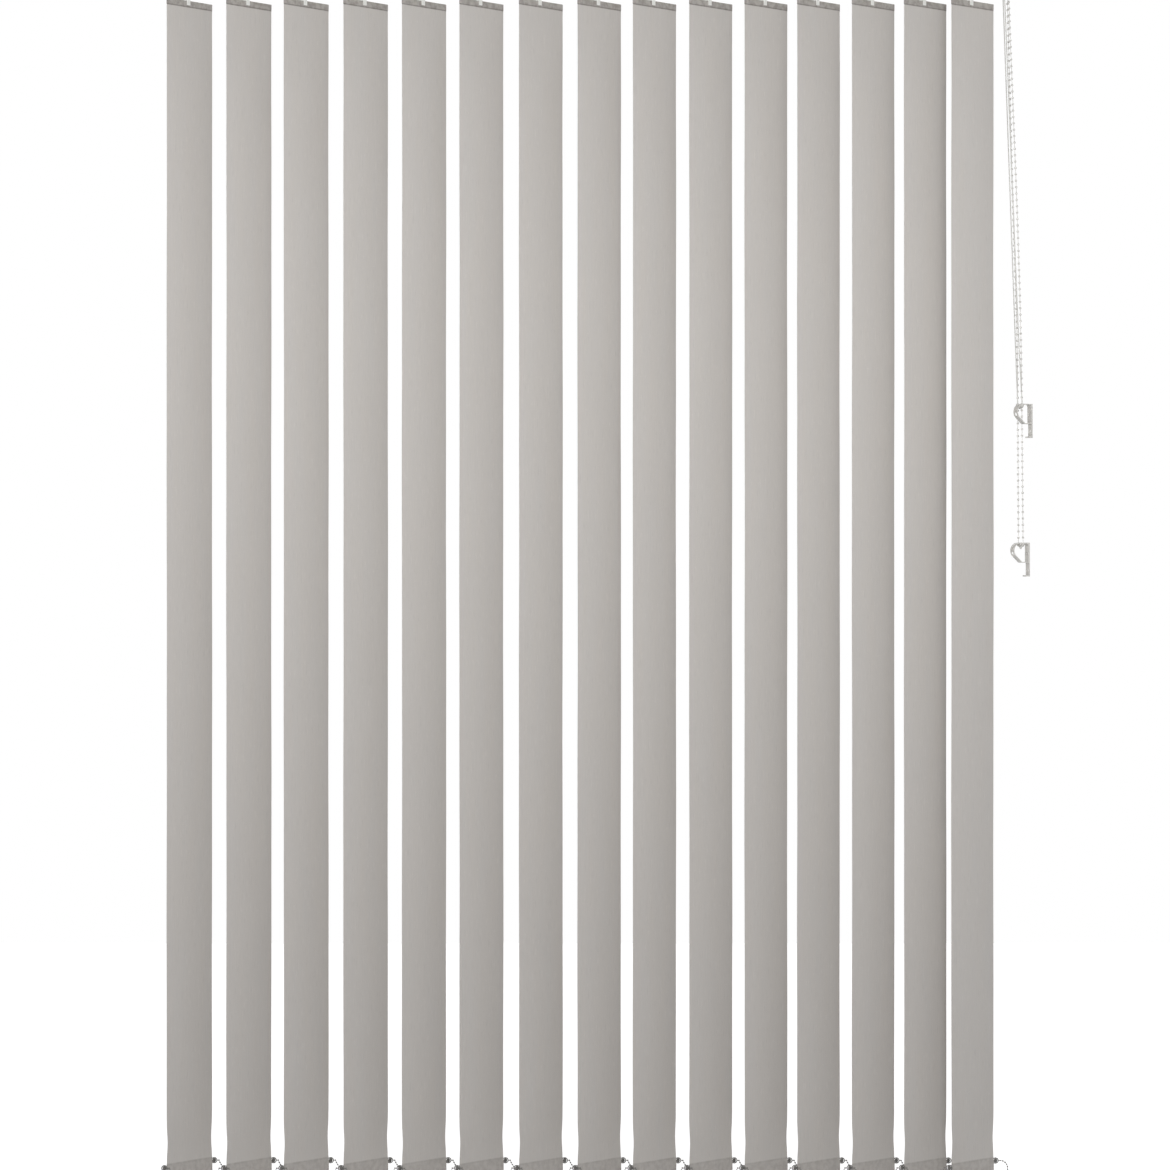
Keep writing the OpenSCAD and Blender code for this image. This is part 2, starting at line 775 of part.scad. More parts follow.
// Vane: the fabric, the hanger plate in its hem and the weight in its foot.
module vane(i) {
  hanger_z0 = vane_top - hem_h + seam + slip;
  hanger_h = hem_h - 2 * seam + 0.6 - 2 * slip;
  translate([VANE_X[i], 0, 0]) rotate(turn_of(i)) {
    color(cloth) difference() {
      along_x(-vane_w / 2, vane_w / 2) fabric_outline();
      translate([-hook_side, 0, vane_top - hole_drop]) rotate([90, 0, 0]) {
        cylinder(r = hole_r, h = 10, center = true);
      }
    }
    color(clear) difference() {
      block([-hook_side - hanger_w / 2, -hanger_t / 2, hanger_z0],
            [-hook_side + hanger_w / 2, hanger_t / 2, hanger_z0 + hanger_h]);
      translate([-hook_side, 0, vane_top - hole_drop]) rotate([90, 0, 0]) {
        cylinder(r = hole_r, h = 10, center = true);
      }
    }
    weight();
  }
}

headrail();
end_cap();
control_housing();
brackets();
tilt_rod();
chain_wheel();
idler_pulley();
guide_pulley_front();
guide_pulley_back();
cord_loop();
bead_chain();
clip_upper();
clip_lower();
foot_chain_front();
foot_chain_back();
for (i = [0:count - 1]) {
  carrier(i);
  stem(i);
  vane(i);
}
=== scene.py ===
# %% [markdown]
# # A vertical blind
# Fifteen strips of cloth, the vanes, hang from carriers that roll in a ceiling rail. A cord pulls
# the carriers together, and a bead chain turns all the vanes. The construction comes packed from
# CAD, so the first cell loads it as a frame that nothing here may move.

# %% Load the frame
import math

import bmesh
import bpy
from mathutils import Matrix, Vector


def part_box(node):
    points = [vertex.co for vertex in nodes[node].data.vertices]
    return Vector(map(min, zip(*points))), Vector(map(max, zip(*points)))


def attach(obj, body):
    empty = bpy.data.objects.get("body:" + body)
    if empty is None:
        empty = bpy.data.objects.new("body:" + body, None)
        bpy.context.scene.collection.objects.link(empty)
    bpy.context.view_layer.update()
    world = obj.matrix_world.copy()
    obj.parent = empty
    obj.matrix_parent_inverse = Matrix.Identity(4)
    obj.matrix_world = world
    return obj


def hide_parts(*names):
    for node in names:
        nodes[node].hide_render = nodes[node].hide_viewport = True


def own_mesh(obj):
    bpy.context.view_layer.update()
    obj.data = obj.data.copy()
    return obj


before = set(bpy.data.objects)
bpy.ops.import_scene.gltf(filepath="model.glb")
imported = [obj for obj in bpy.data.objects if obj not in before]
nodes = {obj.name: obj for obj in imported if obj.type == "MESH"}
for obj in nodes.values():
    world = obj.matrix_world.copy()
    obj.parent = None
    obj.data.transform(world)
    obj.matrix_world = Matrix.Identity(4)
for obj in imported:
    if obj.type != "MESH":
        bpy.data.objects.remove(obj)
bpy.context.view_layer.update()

MM = 0.001

# %% [markdown]
# ## The camera
# The photo looks straight at the blind, at about the middle of its vanes. A long lens far away
# keeps the vanes' edges upright, as they are in the photo.

# %% The camera
CAMERA_AWAY = 8.0
CAMERA_HEIGHT = -1.148
SEEN_WIDTH = 2.204
SENSOR = 36

lens = bpy.data.cameras.new("camera")
lens.sensor_width = SENSOR
lens.lens = SENSOR * CAMERA_AWAY / SEEN_WIDTH
camera = bpy.data.objects.new("camera", lens)
camera.location = (0, -CAMERA_AWAY, CAMERA_HEIGHT)
camera.rotation_euler = (math.radians(90), 0, 0)
bpy.context.scene.collection.objects.link(camera)
bpy.context.scene.camera = camera
print("lens:", round(lens.lens, 1), "mm")

# %% [markdown]
# ## From a bmesh to a piece
# Every new piece is shaped in a bmesh, merged, turned the right way out and put at the origin. Its
# place is in its mesh, as on a CAD node, so that patterns stay put when the model is exported.

# %% Make a piece
SMOOTH_ANGLE = math.radians(38)


def make_piece(bm, name, body, finish, merge=1e-6):
    """Turns a bmesh into an object that rides on a body and wears a finish."""
    bmesh.ops.remove_doubles(bm, verts=bm.verts, dist=merge)
    bmesh.ops.recalc_face_normals(bm, faces=bm.faces)
    mesh = bpy.data.meshes.new(name)
    bm.to_mesh(mesh)
    bm.free()
    mesh.shade_smooth()
    mesh.set_sharp_from_angle(angle=SMOOTH_ANGLE)
    mesh.materials.append(finish)
    piece = bpy.data.objects.new(name, mesh)
    bpy.context.scene.collection.objects.link(piece)
    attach(piece, body)
    return piece


# %% [markdown]
# ## Placing things along a line
# Cords, strings of beads and rings all follow a line of points. One small helper rounds a line's
# corners, one finds the points that lie at even steps along it, and one gives an arc.

# %% Lines of points
NEAR_HALF = 0.45
SHORTEST = 1e-12
X, Y, Z = Vector((1, 0, 0)), Vector((0, 1, 0)), Vector((0, 0, 1))


def softened(points, reach, steps=8):
    """Rounds each inner corner of a line over the same reach on both of its sides."""
    line = [points[0]]
    for before, corner, after in zip(points, points[1:], points[2:]):
        back, on = before - corner, after - corner
        a = corner + back.normalized() * min(reach, back.length * NEAR_HALF)
        b = corner + on.normalized() * min(reach, on.length * NEAR_HALF)
        for k in range(steps + 1):
            t = k / steps
            line.append(a * (1 - t) ** 2 + corner * (2 * t * (1 - t)) + b * t * t)
    return line + [points[-1]]


def even_steps(line, step):
    """Points at even steps along a line, with its two ends kept."""
    lengths = [0.0]
    for a, b in zip(line, line[1:]):
        lengths.append(lengths[-1] + (b - a).length)
    count = max(2, round(lengths[-1] / step))
    points, k = [], 0
    for n in range(count + 1):
        s = lengths[-1] * n / count
        while k < len(line) - 2 and lengths[k + 1] < s:
            k += 1
        span = max(lengths[k + 1] - lengths[k], SHORTEST)
        points.append(line[k].lerp(line[k + 1], min(1.0, (s - lengths[k]) / span)))
    return points


def arc(centre, radius, u, v, a0, a1, steps):
    """Points on an arc round a centre, in the plane of the directions u and v."""
    turns = [math.radians(a0 + (a1 - a0) * k / steps) for k in range(steps + 1)]
    return [centre + radius * (math.cos(a) * u + math.sin(a) * v) for a in turns]


quarter = arc(Vector(), 1.0, X, Z, 0, 90, 8)
print("a quarter turn at even steps:", len(even_steps(quarter, 0.2)), "points")

# %% [markdown]
# ## Tubes
# A cord is a circle that is extruded from ring to ring along its line. Each ring turns with the
# line by the smallest turn, so the tube doesn't twist. Every point also keeps where it is round the
# tube and how far along it: a braid needs both. A bead is a small sphere, made once and copied.

# %% A tube along a line
def add_tube(bm, line, radius, sides):
    """Extrudes a circle along a line, closes both ends and notes each point's place on the tube."""
    place = bm.verts.layers.float_vector.get("place") or bm.verts.layers.float_vector.new("place")
    heading = (line[1] - line[0]).normalized()
    stand = Matrix.Translation(line[0]) @ Z.rotation_difference(heading).to_matrix().to_4x4()
    ring = bmesh.ops.create_circle(bm, cap_ends=False, segments=sides, radius=radius)["verts"]
    for vert in ring:
        vert[place] = (vert.co.x / radius, vert.co.y / radius, 0.0)
    bmesh.ops.transform(bm, matrix=stand, verts=ring)
    edges = list({e for v in ring for e in v.link_edges})
    ends = list(edges)
    travelled = 0.0
    for k in range(1, len(line)):
        after = line[min(k + 1, len(line) - 1)]
        new_heading = (after - line[k - 1]).normalized()
        turn = heading.rotation_difference(new_heading).to_matrix().to_4x4()
        step = Matrix.Translation(line[k]) @ turn @ Matrix.Translation(-line[k - 1])
        grown = bmesh.ops.extrude_edge_only(bm, edges=edges)["geom"]
        ring = [g for g in grown if isinstance(g, bmesh.types.BMVert)]
        edges = [g for g in grown if isinstance(g, bmesh.types.BMEdge)]
        edges = [e for e in edges if e.verts[0] in ring and e.verts[1] in ring]
        bmesh.ops.transform(bm, matrix=step, verts=ring)
        travelled += (line[k] - line[k - 1]).length
        for vert in ring:
            vert[place][2] = travelled
        heading = new_heading
    bmesh.ops.holes_fill(bm, edges=ends, sides=sides)
    bmesh.ops.holes_fill(bm, edges=edges, sides=sides)
    return travelled


def add_beads(bm, places, radius, u, v):
    """Copies of one small sphere, one at each place."""
    bead = bmesh.new()
    bmesh.ops.create_uvsphere(bead, u_segments=u, v_segments=v, radius=radius)
    mesh = bpy.data.meshes.new("bead")
    bead.to_mesh(mesh)
    bead.free()
    here = Vector((0, 0, 0))
    for point in places:
        mesh.transform(Matrix.Translation(point - here))
        here = point
        bm.from_mesh(mesh)
    bpy.data.meshes.remove(mesh)


# %% [markdown]
# ## Sizes
# These sizes repeat those of the CAD source, in millimetres. Only the hem is a little taller here,
# as the photo shows it. The vanes' places along the rail come from the frame itself: a vane's box
# has its stem in the middle. The vanes' angles differ by half a degree from one to the next.

# %% Sizes of the blind
COUNT = 15
VANE_W, LAYER = 127, 0.45
TOP, FOOT = -48, -2268
HEM, POCKET = 12, 35
POCKET_TOP = FOOT + POCKET
KNOB_X, KNOB_Z, KNOB_R, KNOB_T = 70, -2239, 4, 3
RING_R, CHAIN_LINK, CHAIN_SLOPE, CHAIN_TAIL = 5.15, 9, 68, 22
HOOK_SIDE = 4
MEAN_TURN, TURN_STEP, MIDDLE = 50, 0.5, 7

VANES = [f"{n:02d}" for n in range(1, COUNT + 1)]


def stem_x(vane):
    low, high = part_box("vane_" + vane)
    return (low.x + high.x) / 2


STEM_X = {vane: stem_x(vane) for vane in VANES}
TURN = {vane: math.radians(MEAN_TURN + TURN_STEP * (MIDDLE - k)) for k, vane in enumerate(VANES)}


def hung(vane):
    """From a vane's own frame in millimetres to the blind's frame in metres."""
    place = Matrix.Translation((STEM_X[vane], 0, 0)) @ Matrix.Rotation(TURN[vane], 4, "Z")
    return place @ Matrix.Scale(MM, 4)


print("stems at", [round(x, 3) for x in STEM_X.values()])

# %% [markdown]
# ## Node groups
# What more than one finish needs is a node group, built once with named inputs. The groups here put
# out only colours, masks and heights. The shaders stay in the materials.

# %% Node helpers
def new_group(name, inputs, outputs):
    """A shader node group with the given sockets, and its two end nodes."""
    group = bpy.data.node_groups.new(name, "ShaderNodeTree")
    for direction, sockets in (("INPUT", inputs), ("OUTPUT", outputs)):
        for socket_name, kind, default in sockets:
            socket = group.interface.new_socket(
                socket_name, in_out=direction, socket_type="NodeSocket" + kind)
            if default is not None:
                socket.default_value = default
    start = group.nodes.new("NodeGroupInput")
    end = group.nodes.new("NodeGroupOutput")
    return group, start, end


def add(tree, kind, sources=None, **settings):
    """A node of the given kind; sources links its inputs or sets them."""
    node = tree.nodes.new("ShaderNode" + kind)
    for name, value in settings.items():
        setattr(node, name, value)
    for name, value in (sources or {}).items():
        if isinstance(value, bpy.types.NodeSocket):
            tree.links.new(value, node.inputs[name])
        else:
            node.inputs[name].default_value = value
    return node


def math_node(tree, operation, *values, clamp=False):
    node = add(tree, "Math", dict(enumerate(values)), operation=operation, use_clamp=clamp)
    return node.outputs[0]


def mix_colour(tree, factor, a, b, blend="MIX"):
    node = add(tree, "Mix", data_type="RGBA", blend_type=blend)
    for index, value in ((0, factor), (6, a), (7, b)):
        if isinstance(value, bpy.types.NodeSocket):
            tree.links.new(value, node.inputs[index])
        else:
            node.inputs[index].default_value = value
    return node.outputs[2]


def ramp(tree, factor, low, high):
    """Goes from 0 to 1 while the factor goes from low to high."""
    node = add(tree, "MapRange", {"Value": factor, "From Min": low, "From Max": high}, clamp=True)
    return node.outputs[0]


def srgb(red, green, blue):
    """A colour given as it looks on a screen, from 0 to 255, made linear for a node."""
    def linear(c):
        c /= 255
        return c / 12.92 if c <= 0.04045 else ((c + 0.055) / 1.055) ** 2.4
    return (linear(red), linear(green), linear(blue), 1.0)


# %% [markdown]
# ## Woven cloth
# The vanes are a light grey polyester cloth. Close up it is a plain weave. From further off its
# thicker threads show as faint upright streaks, with a nub here and there. The cloth's own flat
# coordinates, in metres, drive all of it, so the weave follows the folds of hem and pocket.
# The weave gets a painted shade: it is darker in the gaps between the threads.

# %% Woven cloth, the node group
# Each kind of streak: its width and length in metres, and its noise detail
THREADS, SLUBS = (0.0016, 0.080, 3), (0.0024, 0.022, 1)
CROSSINGS, CLOUDS = (0.018, 0.0020, 1), (0.030, 0.220, 2)
# The share of the tone that each of them changes; for the weave it is a painted shade between the
# threads
THREAD_TONE, SLUB_TONE, CROSSING_TONE, WEAVE_SHADE, NUB_TONE = 0.05, 0.055, 0.035, 0.05, 0.06
WEAVE_MIDDLE = 0.6
NUBS_PER_METRE = (55, 40, 1)
SLUB_HEIGHT, NUB_HEIGHT = 0.8, 1.2
WARMER, COOLER = (1.012, 1.0, 0.985, 1), (0.99, 1.0, 1.012, 1)


def woven_cloth():
    group, start, end = new_group(
        "woven cloth",
        [("Flat", "Vector", None), ("Colour", "Color", (0.5, 0.5, 0.5, 1)),
         ("Thread", "Float", 0.0006), ("Streaks", "Float", 1.0), ("Nubs", "Float", 1.0)],
        [("Colour", "Color", None), ("Height", "Float", None)])
    flat, thread = start.outputs["Flat"], start.outputs["Thread"]
    xyz = add(group, "SeparateXYZ", {0: flat})
    warp = math_node(group, "DIVIDE", xyz.outputs[0], thread)
    weft = math_node(group, "DIVIDE", xyz.outputs[1], thread)
    over = math_node(group, "ADD", math_node(group, "FLOOR", warp), math_node(group, "FLOOR", weft))
    over = math_node(group, "PINGPONG", over, 1.0)
    ridges = [
        math_node(group, "ABSOLUTE", math_node(
            group, "SINE", math_node(group, "MULTIPLY", along, math.pi)))
        for along in (warp, weft)]
    under = math_node(group, "SUBTRACT", 1.0, over)
    weave = math_node(
        group, "ADD",
        math_node(group, "MULTIPLY", ridges[0], over),
        math_node(group, "MULTIPLY", ridges[1], under))

    def stretched(wide, long, detail):
        scaled = add(group, "Mapping", {"Vector": flat, "Scale": (1 / wide, 1 / long, 1)})
        return add(group, "TexNoise", {
            "Vector": scaled.outputs[0], "Scale": 1.0, "Detail": detail, "Roughness": 0.55,
        }).outputs[0]

    threads = ramp(group, stretched(*THREADS), 0.25, 0.75)
    slubs = stretched(*SLUBS)
    slub_light, slub_dark = ramp(group, slubs, 0.63, 0.72), ramp(group, slubs, 0.37, 0.28)
    cross_light = ramp(group, stretched(*CROSSINGS), 0.68, 0.75)
    clouds = stretched(*CLOUDS)
    tone = math_node(group, "MULTIPLY_ADD", threads, THREAD_TONE, 1 - THREAD_TONE / 2)
    tone = math_node(group, "MULTIPLY_ADD", slub_light, SLUB_TONE, tone)
    tone = math_node(group, "MULTIPLY_ADD", slub_dark, -SLUB_TONE, tone)
    tone = math_node(group, "MULTIPLY_ADD", cross_light, CROSSING_TONE, tone)
    tone = math_node(group, "SUBTRACT", tone, 1.0)
    tone = math_node(group, "MULTIPLY_ADD", tone, start.outputs["Streaks"], 1.0)
    # Painted shade: the weave is darker in the gaps between the threads
    raised = math_node(group, "SUBTRACT", weave, WEAVE_MIDDLE)
    tone = math_node(group, "MULTIPLY_ADD", raised, WEAVE_SHADE, tone)
    nub_place = add(group, "Mapping", {"Vector": flat, "Scale": NUBS_PER_METRE})
    nub = add(group, "TexVoronoi", {"Vector": nub_place.outputs[0], "Scale": 1.0})
    nubs = math_node(group, "MULTIPLY", ramp(group, nub.outputs["Distance"], 0.10, 0.03),
                     start.outputs["Nubs"])
    tone = math_node(group, "MULTIPLY_ADD", nubs, NUB_TONE, tone)
    grey = add(group, "CombineColor", {0: tone, 1: tone, 2: tone})
    warm = mix_colour(group, clouds, WARMER, COOLER)
    colour = mix_colour(group, 1.0, start.outputs["Colour"], grey.outputs[0], "MULTIPLY")
    colour = mix_colour(group, 1.0, colour, warm, "MULTIPLY")
    height = math_node(group, "MULTIPLY_ADD", slub_light, SLUB_HEIGHT, weave)
    height = math_node(group, "MULTIPLY_ADD", nubs, NUB_HEIGHT, height)
    group.links.new(colour, end.inputs["Colour"])
    group.links.new(height, end.inputs["Height"])
    return group


WOVEN = woven_cloth()
print("woven cloth:", len(WOVEN.nodes), "nodes")

# %% [markdown]
# ## Grain and dust
# Moulded plastic and powder coat are never quite even. One group gives a fine grain and slow
# clouds of tone, and dust where a face looks up.

# %% Grain and dust, the node group
SLOW_CLOUDS = 14.0
DUST_COLOUR, DUST_ROUGHENS = (0.42, 0.40, 0.37, 1), 0.4


def grain_and_dust():
    group, start, end = new_group(
        "grain and dust",
        [("Colour", "Color", (0.8, 0.8, 0.8, 1)), ("Grain size", "Float", 0.001),
         ("Tone", "Float", 0.03), ("Dust", "Float", 0.1),
         ("Roughness", "Float", 0.4), ("Rough change", "Float", 0.1)],
        [("Colour", "Color", None), ("Roughness", "Float", None), ("Height", "Float", None)])
    place = add(group, "TexCoord").outputs["Object"]
    fine_scale = math_node(group, "DIVIDE", 1.0, start.outputs["Grain size"])
    fine = add(group, "TexNoise", {"Vector": place, "Scale": fine_scale, "Detail": 2.0}).outputs[0]
    slow = add(group, "TexNoise", {
        "Vector": place, "Scale": SLOW_CLOUDS, "Detail": 4.0}).outputs[0]
    up = add(group, "SeparateXYZ", {0: add(group, "NewGeometry").outputs["Normal"]}).outputs[2]
    dust = math_node(group, "MULTIPLY", ramp(group, up, 0.5, 1.0), ramp(group, slow, 0.35, 0.7))
    dust = math_node(group, "MULTIPLY", dust, start.outputs["Dust"])
    tone = math_node(group, "SUBTRACT", slow, 0.5)
    tone = math_node(group, "MULTIPLY_ADD", tone, start.outputs["Tone"], 1.0)
    grey = add(group, "CombineColor", {0: tone, 1: tone, 2: tone})
    colour = mix_colour(group, 1.0, start.outputs["Colour"], grey.outputs[0], "MULTIPLY")
    colour = mix_colour(group, dust, colour, DUST_COLOUR)
    rough = math_node(group, "SUBTRACT", fine, 0.5)
    rough = math_node(group, "MULTIPLY_ADD", rough, start.outputs["Rough change"],
                      start.outputs["Roughness"])
    dusty = math_node(group, "MULTIPLY", dust, DUST_ROUGHENS)
    rough = math_node(group, "ADD", rough, dusty, clamp=True)
    group.links.new(colour, end.inputs["Colour"])
    group.links.new(rough, end.inputs["Roughness"])
    group.links.new(fine, end.inputs["Height"])
    return group


GRAIN = grain_and_dust()
print("grain and dust:", len(GRAIN.nodes), "nodes")

# %% [markdown]
# ## Finishes
# A helper sets up a Principled shader. The plastics and the rail's and the brackets' coats all take
# their colour, roughness and bump from the grain group, each with its own values. The two clips and
# the hangers are of a milky clear plastic, so a part of the light goes through them.

# %% A plain finish
def new_finish(name, **sockets):
    """A material with a Principled shader, and the tree and shader to go on with."""
    material = bpy.data.materials.new(name)
    material.use_nodes = True
    tree = material.node_tree
    shader = tree.nodes["Principled BSDF"]
    for socket, value in sockets.items():
        shader.inputs[socket.replace("_", " ")].default_value = value
    return material, tree, shader


def bump(tree, shader, height, strength, distance):
    node = add(tree, "Bump", {"Height": height, "Strength": strength, "Distance": distance})
    tree.links.new(node.outputs[0], shader.inputs["Normal"])


def grained(name, colour, size, tone, dust, rough, change, bump_mm, **sockets):
    """A finish from the grain group; sockets are set on the shader itself."""
    material, tree, shader = new_finish(name, **sockets)
    grain = add(tree, "Group", node_tree=GRAIN)
    for socket, value in (("Colour", colour), ("Grain size", size), ("Tone", tone), ("Dust", dust),
                          ("Roughness", rough), ("Rough change", change)):
        grain.inputs[socket].default_value = value
    tree.links.new(grain.outputs["Colour"], shader.inputs["Base Color"])
    tree.links.new(grain.outputs["Roughness"], shader.inputs["Roughness"])
    bump(tree, shader, grain.outputs["Height"], 0.5, bump_mm * MM)
    return material


# Colour, grain size in metres, tone, dust, roughness and its change, and the bump in millimetres
RAIL_WHITE = grained("rail white", srgb(238, 238, 235), 0.0012, 0.04, 0.35, 0.38, 0.12, 0.05)
WHITE_PLASTIC = grained("white plastic", srgb(236, 236, 232), 0.0009, 0.03, 0.2, 0.34, 0.10, 0.03,
                        Subsurface_Weight=0.06, Subsurface_Scale=0.002)
ACETAL = grained("carrier plastic", srgb(226, 226, 221), 0.0008, 0.04, 0.25, 0.40, 0.12, 0.03,
                 Subsurface_Weight=0.08, Subsurface_Scale=0.002)
BRACKET = grained("bracket paint", srgb(228, 228, 225), 0.0010, 0.05, 0.3, 0.42, 0.15, 0.05)
CLEAR = grained("clear plastic", srgb(219, 217, 213), 0.0010, 0.05, 0.05, 0.24, 0.08, 0.02,
                Transmission_Weight=0.25, IOR=1.49)
HOOK_WHITE = grained("hook plastic", srgb(238, 238, 235), 0.0008, 0.03, 0.0, 0.30, 0.08, 0.02)
WEIGHT_GREY = grained("grey plastic", srgb(104, 102, 99), 0.0008, 0.08, 0.15, 0.42, 0.14, 0.04)
CLIP_GREY = grained("chain clip grey", srgb(118, 116, 113), 0.0006, 0.06, 0.05, 0.38, 0.1, 0.02)
CHAIN_GREY = grained("chain grey", srgb(134, 132, 128), 0.0006, 0.06, 0.0, 0.36, 0.1, 0.02)
BEAD_WHITE = grained("bead plastic", srgb(208, 206, 202), 0.0007, 0.04, 0.0, 0.32, 0.08, 0.02)
print("finishes:", [m.name for m in bpy.data.materials if m.use_nodes])

# %% [markdown]
# The rod is drawn aluminium, so its fine lines run along it. The lines are noise that is stretched
# along X.

# %% Drawn aluminium
LINES_PER_METRE = (6, 2400, 2400)
METAL_DARK, METAL_LIGHT = srgb(176, 177, 178), srgb(206, 207, 207)
METAL_ROUGH, METAL_ROUGH_CHANGE = 0.26, 0.18


def drawn_aluminium():
    material, tree, shader = new_finish("drawn aluminium", Metallic=1.0)
    place = add(tree, "TexCoord").outputs["Object"]
    drawn = add(tree, "Mapping", {"Vector": place, "Scale": LINES_PER_METRE})
    lines = add(tree, "TexNoise", {
        "Vector": drawn.outputs[0], "Scale": 1.0, "Detail": 3.0}).outputs[0]
    rough = math_node(tree, "MULTIPLY_ADD", lines, METAL_ROUGH_CHANGE, METAL_ROUGH)
    tree.links.new(mix_colour(tree, lines, METAL_DARK, METAL_LIGHT), shader.inputs["Base Color"])
    tree.links.new(rough, shader.inputs["Roughness"])
    bump(tree, shader, lines, 0.3, 0.02 * MM)
    return material


ROD_METAL = drawn_aluminium()
print("made:", ROD_METAL.name)

# %% [markdown]
# ## The vanes' finish
# The cloth has the weave and a soft sheen. Where hem and pocket lie double, a painted shade makes
# the cloth darker and a little mottled, as less light comes through two layers than one. The piece
# carries the shade's share as an attribute called double. A second attribute, weld, marks the line
# that closes hem and pocket. The machine presses a row of short dashes there.

# %% The vanes' finish
CLOTH_GREY = srgb(203, 199, 195)
# The painted shade of the double cloth at hem and pocket, and the dark of the weld's dashes
DOUBLE_SHADE_GREY, WELD_GREY = srgb(188, 185, 182), srgb(96, 92, 88)
DASH_PITCH, DASH_DEPTH = 0.0032, 3.0
# How the painted shade at hem and pocket is mottled: the noise's size, its share and its least
# value
SHADE_MOTTLE_PER_METRE, SHADE_MOTTLE_SHARE, SHADE_MOTTLE_LEAST = 95.0, 0.55, 0.6


def vane_cloth():
    material, tree, shader = new_finish("vane cloth", Roughness=0.82, Sheen_Weight=0.12,
                                        Sheen_Roughness=0.5, Specular_IOR_Level=0.25)
    flat = add(tree, "UVMap", uv_map="cloth").outputs[0]
    woven = add(tree, "Group", {"Flat": flat, "Colour": CLOTH_GREY}, node_tree=WOVEN)
    double = add(tree, "Attribute", attribute_name="double").outputs["Fac"]
    weld = add(tree, "Attribute", attribute_name="weld").outputs["Fac"]
    across = add(tree, "SeparateXYZ", {0: flat}).outputs[0]
    dashes = math_node(tree, "FRACT", math_node(tree, "DIVIDE", across, DASH_PITCH))
    dashes = ramp(tree, math_node(tree, "PINGPONG", math_node(tree, "MULTIPLY", dashes, 2.0), 1.0),
                  0.0, 0.4)
    pressed = math_node(tree, "MULTIPLY", ramp(tree, weld, 0.1, 0.5), dashes)
    # Painted shade where the cloth lies double, mottled by noise
    shade_mottle = add(tree, "TexNoise", {
        "Vector": flat, "Scale": SHADE_MOTTLE_PER_METRE, "Detail": 2.0}).outputs[0]
    double_shade = math_node(tree, "MULTIPLY_ADD", ramp(tree, shade_mottle, 0.62, 0.36), SHADE_MOTTLE_SHARE, SHADE_MOTTLE_LEAST)
    double_shade = math_node(tree, "MULTIPLY", double_shade, double, clamp=True)
    colour = mix_colour(tree, double_shade, woven.outputs["Colour"], DOUBLE_SHADE_GREY, "MULTIPLY")
    colour = mix_colour(tree, math_node(tree, "MULTIPLY", pressed, weld), colour, WELD_GREY)
    tree.links.new(colour, shader.inputs["Base Color"])
    height = math_node(tree, "MULTIPLY_ADD", pressed, -DASH_DEPTH, woven.outputs["Height"])
    bump(tree, shader, height, 0.35, 0.12 * MM)
    return material


CLOTH = vane_cloth()
print("made:", CLOTH.name)

# %% [markdown]
# ## Braided cord
# The pulling cord is braided: two sets of fine strands wind round it in opposite directions. The
# tube knows each point's place round it and along it. Two sine waves make the strands from that,
# and a painted shade darkens the grooves between the strands.

# %% Braided cord
STRANDS, BRAID_PITCH = 4.0, 0.0042
# A painted shade for the grooves between the strands, and the strands' own colour
GROOVE_SHADE, STRAND_LIGHT = srgb(158, 156, 152), srgb(214, 213, 209)


def braided_cord():
    material, tree, shader = new_finish("braided cord", Roughness=0.62, Sheen_Weight=0.2)
    place = add(tree, "SeparateXYZ", {
        0: add(tree, "Attribute", attribute_name="place").outputs["Vector"]})
    around = math_node(tree, "MULTIPLY", STRANDS,
                       math_node(tree, "ARCTAN2", place.outputs[1], place.outputs[0]))
    along = math_node(tree, "MULTIPLY", place.outputs[2], 2 * math.pi / BRAID_PITCH)
    strands = [
        math_node(tree, "ABSOLUTE", math_node(tree, "SINE", math_node(tree, way, around, along)))
        for way in ("ADD", "SUBTRACT")]
    strand = math_node(tree, "MAXIMUM", strands[0], strands[1])
    # Painted shade: darker where the grooves lie between the strands
    colour = mix_colour(tree, ramp(tree, strand, 0.45, 1.0), GROOVE_SHADE, STRAND_LIGHT)
    tree.links.new(colour, shader.inputs["Base Color"])
    bump(tree, shader, strand, 0.6, 0.15 * MM)
    return material


CORD_BRAID = braided_cord()
print("made:", CORD_BRAID.name)

# %% [markdown]
# ## Where the cords run
# Both loops hang round the saddle of a clip on the wall. Each clip is turned a little towards the
# room, so a helper goes from the clip's own frame to the blind's.

# %% The clips' places
UPPER_CLIP, UPPER_TURN, UPPER_HOOK = Vector((840, 2, -807)), 30, -25
LOWER_CLIP, LOWER_TURN, LOWER_HOOK = Vector((837, 20, -1068)), 26, -16.5
CLIP_T, SADDLE_R = 1.8, 6
HANG_BEND = 90


def in_clip(place, turn, point):
    return place + Matrix.Rotation(math.radians(turn), 3, "Z") @ Vector(point)


def clip_turn(place, turn, hook, reach, way):
    """The half turn under a clip's saddle, from its front to its back, or back to front."""
    angles = [math.radians(a * way) for a in range(-90, 91, 15)]
    return [in_clip(place, turn, (hook, reach * math.sin(a), -CLIP_T - reach * math.cos(a)))
            for a in angles]


print("clips at", tuple(UPPER_CLIP), "and", tuple(LOWER_CLIP), "mm")

# %% [markdown]
# The cords' lines repeat the points of the CAD source. The pulling cord starts at the leading
# carrier, goes round the idler pulley and along the rail, over the back guide pulley, down to its
# clip, and back over the front guide pulley to the same carrier.

# %% The pulling cord
CORD_R, CORD_Y, CORD_Z = 1.0, 14, -9.1
GUIDE_R, GUIDE_X, GUIDE_Z = 7, 781, -16.1
IDLER_X, TIE_X, TIE_GAP = -792, -745, 0.5
CORD_GAP = 0.2
BACK_BEND, FRONT_BEND = Vector((812, 13, -690)), Vector((816, -9, -690))

